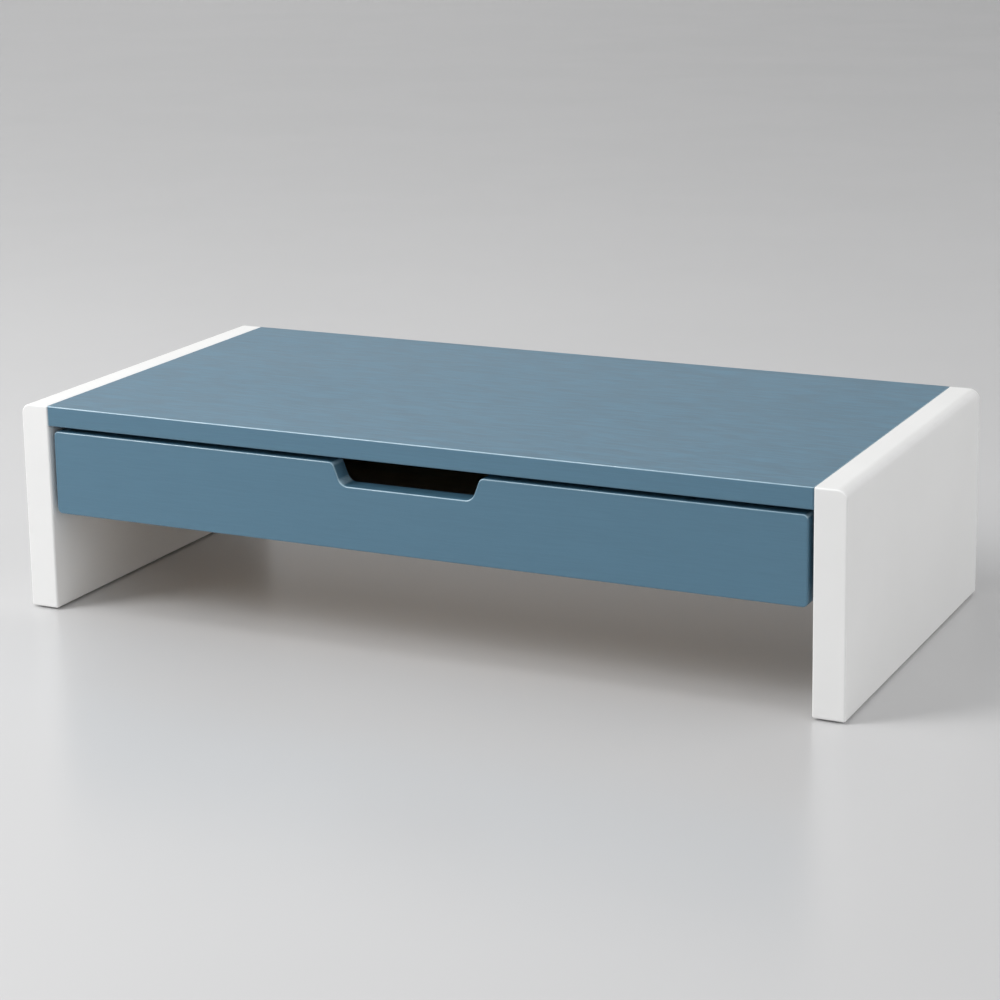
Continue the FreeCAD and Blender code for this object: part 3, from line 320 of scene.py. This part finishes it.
def blue_lacquer(finish):
    material, tree, shader = new_material("blue_satin_lacquer")
    skin = place_group(tree, "Lacquer skin", ripple=520.0)
    wear_and_highlight = place_group(tree, "Edge wear and painted highlight", amount=finish.edge_wear_and_highlight)
    grain = place_group(tree, "Wood grain", frequency=LACQUERED_FIBRES)
    blue, roughness = tuple(finish.blue), finish.blue_roughness
    banded = vary(tree, grain["Bands"], blue, darkest=0.99, lightest=1.01)
    streaked = vary(tree, grain["Streaks"], blue, darkest=0.76, lightest=1.24)
    upward = local_normal(tree)["Z"]
    shown = spread(tree, upward, FACE_BEGINS, FACE_FULL, GRAIN_ON_SIDES, GRAIN_ON_TOP)
    wooden = mix_colours(tree, shown, banded, streaked)
    # Painted highlight, partly thinned lacquer: the rounded upper edges turn a pale blue.
    worn_and_highlit = mix_colours(tree, wear_and_highlight["Mask"], wooden, finish.blue_edge_highlight)
    join(tree, worn_and_highlit, shader.inputs["Base Color"])
    dull = between(tree, skin["Dullness"], roughness - 0.008, roughness + 0.008)
    fibrous = add_math(tree, "ADD", dull, times(tree, grain["Streaks"], 0.05))
    rubbed = add_math(tree, "SUBTRACT", fibrous, times(tree, wear_and_highlight["Mask"], 0.16))
    join(tree, rubbed, shader.inputs["Roughness"])
    height = add_math(tree, "ADD", skin["Height"], times(tree, grain["Height"], finish.grain_relief))
    add_bump(tree, shader, height, depth=0.02 * MM)
    shader.inputs["IOR"].default_value = finish.blue_gloss
    return material


def add_plies(tree, thickness_axis, start, ply):
    """A mask of every second ply, the dark ones, where a plywood board shows its edge."""
    axis = "XYZ".index(thickness_axis)
    place = add_node(tree, "SeparateXYZ", {0: local_place(tree)}).outputs[axis]
    through = add_math(tree, "DIVIDE", add_math(tree, "SUBTRACT", place, start), 2 * ply)
    dark = spread(tree, add_math(tree, "FRACT", through), *PLY_BORDER)
    facing = add_math(tree, "ABSOLUTE", local_normal(tree)[axis])
    return times(tree, dark, spread(tree, facing, PLIES_BEGIN, PLIES_FULL))


def birch_plywood(finish, name, thickness_axis, start, ply):
    """Clear-lacquered birch plywood. The board's plies are stacked along one axis from start."""
    material, tree, shader = new_material(name)
    along = "Y" if thickness_axis == "X" else "X"
    frequency = tuple(BIRCH_ALONG if axis == along else BIRCH_ACROSS for axis in "XYZ")
    grain = place_group(tree, "Wood grain", frequency=frequency, waviness=1.6)
    skin = place_group(tree, "Lacquer skin", ripple=380.0)
    wear_and_highlight = place_group(tree, "Edge wear and painted highlight", amount=finish.edge_wear_and_highlight)
    birch = tuple(finish.birch)
    banded = vary(tree, grain["Bands"], birch, darkest=0.88, lightest=1.08)
    streaked = vary(tree, grain["Streaks"], birch, darkest=0.9, lightest=1.1)
    wooden = mix_colours(tree, 0.45, banded, streaked)
    plies = add_plies(tree, thickness_axis, start, ply)
    layered = mix_colours(tree, times(tree, plies, 0.6), wooden, shade(birch, 0.45))
    # Partly a painted highlight, partly wear: the rounded upper edges are lightened a little.
    worn_and_highlit = mix_colours(tree, times(tree, wear_and_highlight["Mask"], 0.3), layered, shade(birch, 1.15))
    join(tree, worn_and_highlit, shader.inputs["Base Color"])
    dull = between(tree, skin["Dullness"], *BIRCH_ROUGHNESS)
    fibrous = add_math(tree, "ADD", dull, times(tree, grain["Streaks"], 0.08))
    join(tree, fibrous, shader.inputs["Roughness"])
    height = add_math(tree, "ADD", skin["Height"], grain["Height"])
    add_bump(tree, shader, height, depth=0.03 * MM)
    return material


def sheet_steel(name, colour, roughness, marks=ROLLED_MARKS, relief=0.004):
    """Plated steel with marks of the given frequency. Relief is in millimetres."""
    material, tree, shader = new_material(name)
    steel = place_group(tree, "Brushed steel", frequency=marks)
    scratched = vary(tree, steel["Scratches"], colour, darkest=0.9, lightest=1.08)
    clouded = vary(tree, steel["Clouds"], colour, darkest=0.94, lightest=1.04)
    plated = mix_colours(tree, 0.5, scratched, clouded)
    spotted = mix_colours(tree, times(tree, steel["Spots"], 0.25), plated, shade(colour, 0.6))
    join(tree, spotted, shader.inputs["Base Color"])
    shader.inputs["Metallic"].default_value = 1.0
    low, high = roughness - 0.06, roughness + 0.08
    scratchy = spread(tree, steel["Scratches"], 0.25, 0.75, low, high, smooth=False)
    dull = add_math(tree, "ADD", scratchy, times(tree, steel["Clouds"], 0.05))
    join(tree, dull, shader.inputs["Roughness"])
    add_bump(tree, shader, steel["Scratches"], depth=relief * MM)
    return material


def cast_zinc():
    """Die-cast zinc: a grey, slightly pebbled skin with duller patches."""
    material, tree, shader = new_material("cast_zinc")
    place = local_place(tree)
    pebbles = add_noise(tree, place, scale=2600.0, detail=3.0, roughness=0.65)
    patches = stretched(tree, add_noise(tree, place, scale=220.0, detail=3.0))
    grey = vary(tree, patches, LOCK_ZINC, darkest=0.85, lightest=1.12)
    join(tree, grey, shader.inputs["Base Color"])
    shader.inputs["Metallic"].default_value = 1.0
    join(tree, between(tree, patches, *LOCK_ROUGHNESS), shader.inputs["Roughness"])
    add_bump(tree, shader, pebbles, depth=0.03 * MM)
    return material


def plain_beech():
    """Unfinished beech: short dark flecks on a pinkish ground."""
    material, tree, shader = new_material("plain_beech")
    place = local_place(tree)
    flecks = spread(tree, add_noise(tree, scale_vector(tree, place, BEECH_FLECKS)), 0.58, 0.68)
    grain = place_group(tree, "Wood grain", frequency=BEECH_FIBRES)
    ground = vary(tree, grain["Streaks"], BEECH, darkest=0.88, lightest=1.08)
    flecked = mix_colours(tree, times(tree, flecks, 0.5), ground, shade(BEECH, 0.5))
    join(tree, flecked, shader.inputs["Base Color"])
    join(tree, between(tree, grain["Streaks"], *BEECH_ROUGHNESS), shader.inputs["Roughness"])
    add_bump(tree, shader, grain["Height"], depth=0.05 * MM)
    return material


def moulded(name, colour, roughness, stipple, depth):
    """Moulded plastic or rubber with a fine stipple. Depth is in millimetres."""
    material, tree, shader = new_material(name)
    place = local_place(tree)
    dots = add_noise(tree, place, scale=stipple, detail=2.0, roughness=0.6)
    clouds = stretched(tree, add_noise(tree, place, scale=130.0, detail=3.0))
    clouded = vary(tree, clouds, colour, darkest=0.8, lightest=1.35)
    join(tree, clouded, shader.inputs["Base Color"])
    dull = between(tree, clouds, roughness - 0.05, roughness + 0.06)
    join(tree, dull, shader.inputs["Roughness"])
    add_bump(tree, shader, dots, depth=depth * MM)
    return material


def dress(node, material):
    """Gives a part of the frame its finish."""
    slots = NODES[node].material_slots
    if not slots:
        raise RuntimeError(f"{node} has no material slot")
    for slot in slots:
        slot.material = material


# Studio


def studio_outline(stage):
    """The sweep's profile, as pairs of distance from the middle and height."""
    floor, bend = stage.floor_radius, stage.bend_radius
    angles = [math.radians(90 * step / BEND_STEPS) for step in range(BEND_STEPS + 1)]
    rings = [(floor * share, 0.0) for share in FLOOR_RINGS]
    curve = [(floor + bend * math.sin(angle), bend * (1 - math.cos(angle))) for angle in angles]
    return rings + curve + [(floor + bend, stage.wall_height)]


def make_sweep(stage):
    """A round floor that bends up into a low wall all round, so that it has no corner from any side."""
    outline = studio_outline(stage)
    around = SWEEP_FACETS
    vertices = [(0.0, 0.0, 0.0)]
    for distance, height in outline[1:]:
        for step in range(around):
            angle = 2 * math.pi * step / around
            vertices.append((distance * math.cos(angle), distance * math.sin(angle), height))
    faces = [(0, 1 + step, 1 + (step + 1) % around) for step in range(around)]
    for ring in range(len(outline) - 2):
        low, high = 1 + ring * around, 1 + (ring + 1) * around
        faces += [(low + step, high + step, high + (step + 1) % around, low + (step + 1) % around)
                  for step in range(around)]
    mesh = bpy.data.meshes.new("studio_sweep")
    mesh.from_pydata(vertices, [], faces)
    mesh.polygons.foreach_set("use_smooth", [True] * len(mesh.polygons))
    mesh.materials.append(floor_material(stage))
    sweep = bpy.data.objects.new("studio_sweep", mesh)
    bpy.context.scene.collection.objects.link(sweep)


def floor_material(stage):
    """A pale, half-gloss floor with a barely uneven sheen. It is paler up the wall, and painted paler at
    the left, where the light is brighter.
    """
    material, tree, shader = new_material("studio_floor")
    place = local_place(tree)
    clouds = stretched(tree, add_noise(tree, place, scale=3.0, detail=3.0))
    ground = vary(tree, clouds, tuple(stage.floor_colour), darkest=0.99, lightest=1.01)
    axes = add_node(tree, "SeparateXYZ", {0: place}).outputs
    risen = spread(tree, axes["Z"], 0.0, stage.bend_radius)
    # Painted light: the floor is paler towards the left, where the light is brighter.
    painted_light_leftwards = spread(tree, axes["X"], FLOOR_PAINTED_LIGHT_FROM, FLOOR_PAINTED_LIGHT_TO)
    wall_and_painted_light = add_math(tree, "MAXIMUM", risen, painted_light_leftwards)
    paled_by_wall_and_painted_light = mix_colours(tree, wall_and_painted_light, ground, tuple(stage.wall_colour))
    join(tree, paled_by_wall_and_painted_light, shader.inputs["Base Color"])
    dull = between(tree, clouds, stage.floor_roughness - 0.005, stage.floor_roughness + 0.005)
    join(tree, dull, shader.inputs["Roughness"])
    shader.inputs["IOR"].default_value = stage.floor_gloss
    return material


def add_lamp(name, place, width, height, power):
    """A soft light that faces the object."""
    light = bpy.data.lights.new(name, "AREA")
    light.shape = "RECTANGLE"
    light.size = width
    light.size_y = height
    light.energy = power
    lamp = bpy.data.objects.new(name, light)
    lamp.location = place
    lamp.rotation_mode = "QUATERNION"
    lamp.rotation_quaternion = (Vector(LAMP_AIM) - Vector(place)).to_track_quat("-Z", "Y")
    lamp.visible_camera = False
    bpy.context.scene.collection.objects.link(lamp)


def make_sky(stage):
    """Even light from all round, with more from the left and from the right."""
    world = bpy.data.worlds.new("studio_light")
    world.use_nodes = True
    tree = world.node_tree
    background = tree.nodes["Background"]
    background.inputs["Color"].default_value = (*stage.sky_colour, 1.0)
    direction = add_node(tree, "TexCoord").outputs["Generated"]
    strength = stage.sky_strength
    lobes = ((stage.left_side, stage.left_strength), (stage.right_side, stage.right_strength))
    for side, extra in lobes:
        towards = tuple(Vector(side).normalized())
        facing = add_node(tree, "VectorMath", {0: direction, 1: towards}, operation="DOT_PRODUCT")
        lobe = spread(tree, facing.outputs["Value"], LOBE_ENDS, 1.0, 0.0, extra)
        strength = add_math(tree, "ADD", strength, lobe)
    join(tree, strength, background.inputs["Strength"])
    bpy.context.scene.world = world


def light_studio(stage):
    make_sky(stage)
    add_lamp("key_light", stage.key_place, stage.key_width, stage.key_height, stage.key_power)
    add_lamp("top_light", stage.top_place, stage.top_width, stage.top_width, stage.top_power)


def camera_axes(stage):
    """Right, up and back of the camera, turned about its own axis by the roll."""
    turn, tilt = stage.camera_turn, stage.camera_tilt
    back = Vector((math.sin(turn) * math.cos(tilt), -math.cos(turn) * math.cos(tilt), math.sin(tilt)))
    right = Vector((0, 0, 1)).cross(back).normalized()
    up = back.cross(right)
    swing, lean = math.cos(stage.camera_roll), math.sin(stage.camera_roll)
    return swing * right + lean * up, swing * up - lean * right, back


def add_camera(stage):
    lens = bpy.data.cameras.new("camera")
    lens.lens = stage.camera_lens
    lens.sensor_width = SENSOR_WIDTH
    lens.shift_y = stage.camera_shift
    camera = bpy.data.objects.new("camera", lens)
    axes = Matrix([list(axis) for axis in camera_axes(stage)]).transposed()
    camera.matrix_world = Matrix.Translation(stage.camera_place) @ axes.to_4x4()
    bpy.context.scene.collection.objects.link(camera)
    bpy.context.scene.camera = camera


# What a user can change


class ShelfFinish(bpy.types.PropertyGroup):
    white: FloatVectorProperty(
        name="White", description="Lacquer of the side panels", subtype="COLOR", size=3, min=0, max=1,
        default=(0.9, 0.9, 0.892))
    white_roughness: FloatProperty(
        name="White roughness", description="Dullness of the white lacquer", subtype="FACTOR",
        min=0.1, max=0.9, default=0.42)
    white_gloss: FloatProperty(
        name="White gloss", description="Refractive index of the white lacquer", min=1, max=3,
        default=1.35)
    blue: FloatVectorProperty(
        name="Blue", description="Lacquer of the top, the back rail and the drawer front", subtype="COLOR",
        size=3, min=0, max=1, default=(0.079, 0.187, 0.272))
    # Partly a painted highlight: this pale blue on the rounded upper edges stands in for light caught
    # there, besides lacquer thinned there.
    blue_edge_highlight: FloatVectorProperty(
        name="Blue at edges", description="The blue lacquer where an edge thins it", subtype="COLOR",
        size=3, min=0, max=1, default=(0.45, 0.63, 0.73))
    blue_roughness: FloatProperty(
        name="Blue roughness", description="Dullness of the blue lacquer", subtype="FACTOR",
        min=0.1, max=0.9, default=0.34)
    blue_gloss: FloatProperty(
        name="Blue gloss", description="Refractive index of the blue lacquer", min=1, max=3,
        default=1.6)
    grain_relief: FloatProperty(
        name="Grain relief", description="Height of the wood's grain in the blue lacquer's skin",
        min=0, max=5, default=1.2)
    birch: FloatVectorProperty(
        name="Birch", description="Lacquered plywood of the drawer box", subtype="COLOR", size=3,
        min=0, max=1, default=(0.60, 0.44, 0.28))
    edge_wear_and_highlight: FloatProperty(
        name="Edge wear and painted highlight", description="How plainly the rounded edges show", subtype="FACTOR",
        min=0, max=1, default=0.8)


class ShelfStage(bpy.types.PropertyGroup):
    floor_colour: FloatVectorProperty(
        name="Floor colour", description="Floor of the studio", subtype="COLOR", size=3, min=0,
        max=1, default=(0.655, 0.655, 0.66))
    wall_colour: FloatVectorProperty(
        name="Wall colour", description="Wall round the floor", subtype="COLOR", size=3, min=0, max=1,
        default=(0.78, 0.78, 0.785))
    floor_roughness: FloatProperty(
        name="Floor roughness", description="Dullness of the floor", subtype="FACTOR", min=0.05, max=1,
        default=0.26)
    floor_gloss: FloatProperty(
        name="Floor gloss", description="Refractive index of the floor's varnish", min=1, max=3,
        default=1.7)
    floor_radius: FloatProperty(
        name="Floor radius", description="Flat part of the floor", unit="LENGTH", min=2, default=5.0)
    bend_radius: FloatProperty(
        name="Bend radius", description="Bend between floor and wall", unit="LENGTH", min=0.2,
        default=1.2)
    wall_height: FloatProperty(
        name="Wall height", description="Top of the wall", unit="LENGTH", min=1.2, default=1.3)
    sky_colour: FloatVectorProperty(
        name="Sky colour", description="Light from all round", subtype="COLOR", size=3, min=0, max=1,
        default=(1.0, 1.0, 1.0))
    sky_strength: FloatProperty(
        name="Sky strength", description="Light from all round", min=0, max=2, default=0.31)
    left_side: FloatVectorProperty(
        name="Left side", description="Middle of the brighter sky at the left", subtype="DIRECTION",
        size=3, default=(-1.0, 0.3, 0.2))
    left_strength: FloatProperty(
        name="Left strength", description="Further light from the left", min=0, max=4, default=0.55)
    right_side: FloatVectorProperty(
        name="Right side", description="Middle of the brighter sky at the right", subtype="DIRECTION",
        size=3, default=(1.0, -0.1, 0.2))
    right_strength: FloatProperty(
        name="Right strength", description="Further light from the right", min=0, max=4,
        default=1.15)
    key_place: FloatVectorProperty(
        name="Key place", description="Middle of the light at the left", subtype="TRANSLATION", size=3,
        default=(-1.55, -1.4, 1.55))
    key_width: FloatProperty(
        name="Key width", description="Width of the light at the left", unit="LENGTH", min=0.1,
        default=0.93)
    key_height: FloatProperty(
        name="Key height", description="Height of the light at the left", unit="LENGTH", min=0.1,
        default=1.38)
    key_power: FloatProperty(
        name="Key power", description="Power of the light at the left, in watts", min=0, default=34.0)
    top_place: FloatVectorProperty(
        name="Top light place", description="Middle of the light overhead", subtype="TRANSLATION",
        size=3, default=(-0.5, -0.4, 1.6))
    top_width: FloatProperty(
        name="Top light width", description="Side of the light overhead", unit="LENGTH", min=0.1,
        default=0.6)
    top_power: FloatProperty(
        name="Top light power", description="Power of the light overhead, in watts", min=0,
        default=5.0)
    camera_place: FloatVectorProperty(
        name="Camera place", description="Where the camera stands", subtype="TRANSLATION", size=3,
        default=(0.6446, -1.3209, 0.4699))
    camera_turn: FloatProperty(
        name="Camera turn", description="To the right of the front", subtype="ANGLE",
        default=math.radians(26.0))
    camera_tilt: FloatProperty(
        name="Camera tilt", description="Downwards", subtype="ANGLE", default=math.radians(12.27))
    camera_roll: FloatProperty(
        name="Camera roll", description="About the line of sight", subtype="ANGLE",
        default=math.radians(-0.945))
    camera_lens: FloatProperty(
        name="Lens", description="Focal length on a 36 mm frame, in millimetres", min=10,
        default=94.03)
    camera_shift: FloatProperty(
        name="Lens shift", description="Upward shift, as a share of the frame", default=-0.15)


# Operators, one for each group of like pieces and one for the studio


class SHELF_OT_side_panels(bpy.types.Operator):
    """Finish both side panels in white lacquer"""

    bl_idname = "shelf.side_panels"
    bl_label = "Side panels"

    def execute(self, context):
        white = white_lacquer(context.scene.shelf_finish)
        for side in SIDES:
            dress(f"{side}_side_panel", white)
        return {"FINISHED"}


class SHELF_OT_blue_boards(bpy.types.Operator):
    """Finish the top, the back rail and the drawer front in blue lacquer"""

    bl_idname = "shelf.blue_boards"
    bl_label = "Blue boards"

    def execute(self, context):
        blue = blue_lacquer(context.scene.shelf_finish)
        for node in ("top_panel", "back_rail", "drawer_front"):
            dress(node, blue)
        return {"FINISHED"}


class SHELF_OT_drawer_box(bpy.types.Operator):
    """Finish the boards of the drawer box in birch plywood"""

    bl_idname = "shelf.drawer_box"
    bl_label = "Drawer box"

    def execute(self, context):
        finish = context.scene.shelf_finish
        boards = {
            "drawer_left_side": ("X", BOX_PLIES),
            "drawer_right_side": ("X", BOX_PLIES),
            "drawer_back": ("Y", BOX_PLIES),
            "drawer_bottom": ("Z", BOTTOM_PLIES),
        }
        for node, (axis, plies) in boards.items():
            low, high = (corner["XYZ".index(axis)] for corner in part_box(node))
            dress(node, birch_plywood(finish, f"{node}_plywood", axis, low, (high - low) / plies))
        return {"FINISHED"}


class SHELF_OT_slides(bpy.types.Operator):
    """Finish the rails, ball cages, balls and stops of both slides"""

    bl_idname = "shelf.slides"
    bl_label = "Drawer slides"

    def execute(self, context):
        rail = sheet_steel("zinc_plated_rail", RAIL_ZINC, roughness=0.30)
        cage = sheet_steel("pressed_cage_sheet", CAGE_STEEL, roughness=0.36)
        ball = sheet_steel(
            "polished_ball", BALL_STEEL, roughness=0.12, marks=POLISHED_MARKS, relief=0.001)
        nylon = moulded("black_nylon", BLACK_NYLON, roughness=0.45, stipple=2600.0, depth=0.02)
        for side in SIDES:
            for member in ("outer", "middle", "inner"):
                dress(f"{side}_{member}_rail", rail)
            for stage in ("outer", "inner"):
                dress(f"{side}_{stage}_ball_cage", cage)
                dress(f"{side}_{stage}_balls", ball)
            dress(f"{side}_slide_buffer", nylon)
        return {"FINISHED"}


class SHELF_OT_fixings(bpy.types.Operator):
    """Finish the screws, cam bolts, cam locks and dowels"""

    bl_idname = "shelf.fixings"
    bl_label = "Fixings"

    def execute(self, context):
        screw = sheet_steel("zinc_plated_screw", SCREW_ZINC, roughness=0.28, marks=TURNED_MARKS)
        bolt = sheet_steel("zinc_plated_bolt", BOLT_ZINC, roughness=0.32, marks=TURNED_MARKS)
        lock = cast_zinc()
        dowel = plain_beech()
        for node in ("drawer_back_screws", "outer_rail_screws", "inner_rail_screws"):
            dress(node, screw)
        for group in ("carcass", "drawer"):
            dress(f"{group}_cam_bolts", bolt)
            dress(f"{group}_cam_locks", lock)
            dress(f"{group}_dowels", dowel)
        return {"FINISHED"}


class SHELF_OT_foot_pads(bpy.types.Operator):
    """Finish the rubber pads under the side panels"""

    bl_idname = "shelf.foot_pads"
    bl_label = "Foot pads"

    def execute(self, context):
        rubber = moulded("dark_rubber", DARK_RUBBER, roughness=0.7, stipple=1800.0, depth=0.04)
        dress("foot_pads", rubber)
        return {"FINISHED"}


class SHELF_OT_studio(bpy.types.Operator):
    """Build the floor, the soft light and the camera"""

    bl_idname = "shelf.studio"
    bl_label = "Studio"

    def execute(self, context):
        stage = context.scene.shelf_stage
        make_sweep(stage)
        light_studio(stage)
        add_camera(stage)
        context.scene.view_settings.view_transform = "Standard"
        return {"FINISHED"}


STEPS = (
    SHELF_OT_side_panels,
    SHELF_OT_blue_boards,
    SHELF_OT_drawer_box,
    SHELF_OT_slides,
    SHELF_OT_fixings,
    SHELF_OT_foot_pads,
    SHELF_OT_studio,
)


class SHELF_PT_panel(bpy.types.Panel):
    """The steps and what they read, in the sidebar of the 3D view"""

    bl_label = "Desk Shelf"
    bl_idname = "SHELF_PT_panel"
    bl_space_type = "VIEW_3D"
    bl_region_type = "UI"
    bl_category = "Desk Shelf"

    def draw(self, context):
        for group in (context.scene.shelf_finish, context.scene.shelf_stage):
            box = self.layout.box()
            for name in group.__annotations__:
                box.prop(group, name)
        for step in STEPS:
            self.layout.operator(step.bl_idname)


CLASSES = (ShelfFinish, ShelfStage, *STEPS, SHELF_PT_panel)


def register():
    for each in CLASSES:
        bpy.utils.register_class(each)
    bpy.types.Scene.shelf_finish = PointerProperty(type=ShelfFinish)
    bpy.types.Scene.shelf_stage = PointerProperty(type=ShelfStage)


def unregister():
    del bpy.types.Scene.shelf_stage
    del bpy.types.Scene.shelf_finish
    for each in reversed(CLASSES):
        bpy.utils.unregister_class(each)


def main():
    register()
    for step in STEPS:
        group, name = step.bl_idname.split(".")
        getattr(getattr(bpy.ops, group), name)()


if __name__ == "__main__":
    main()
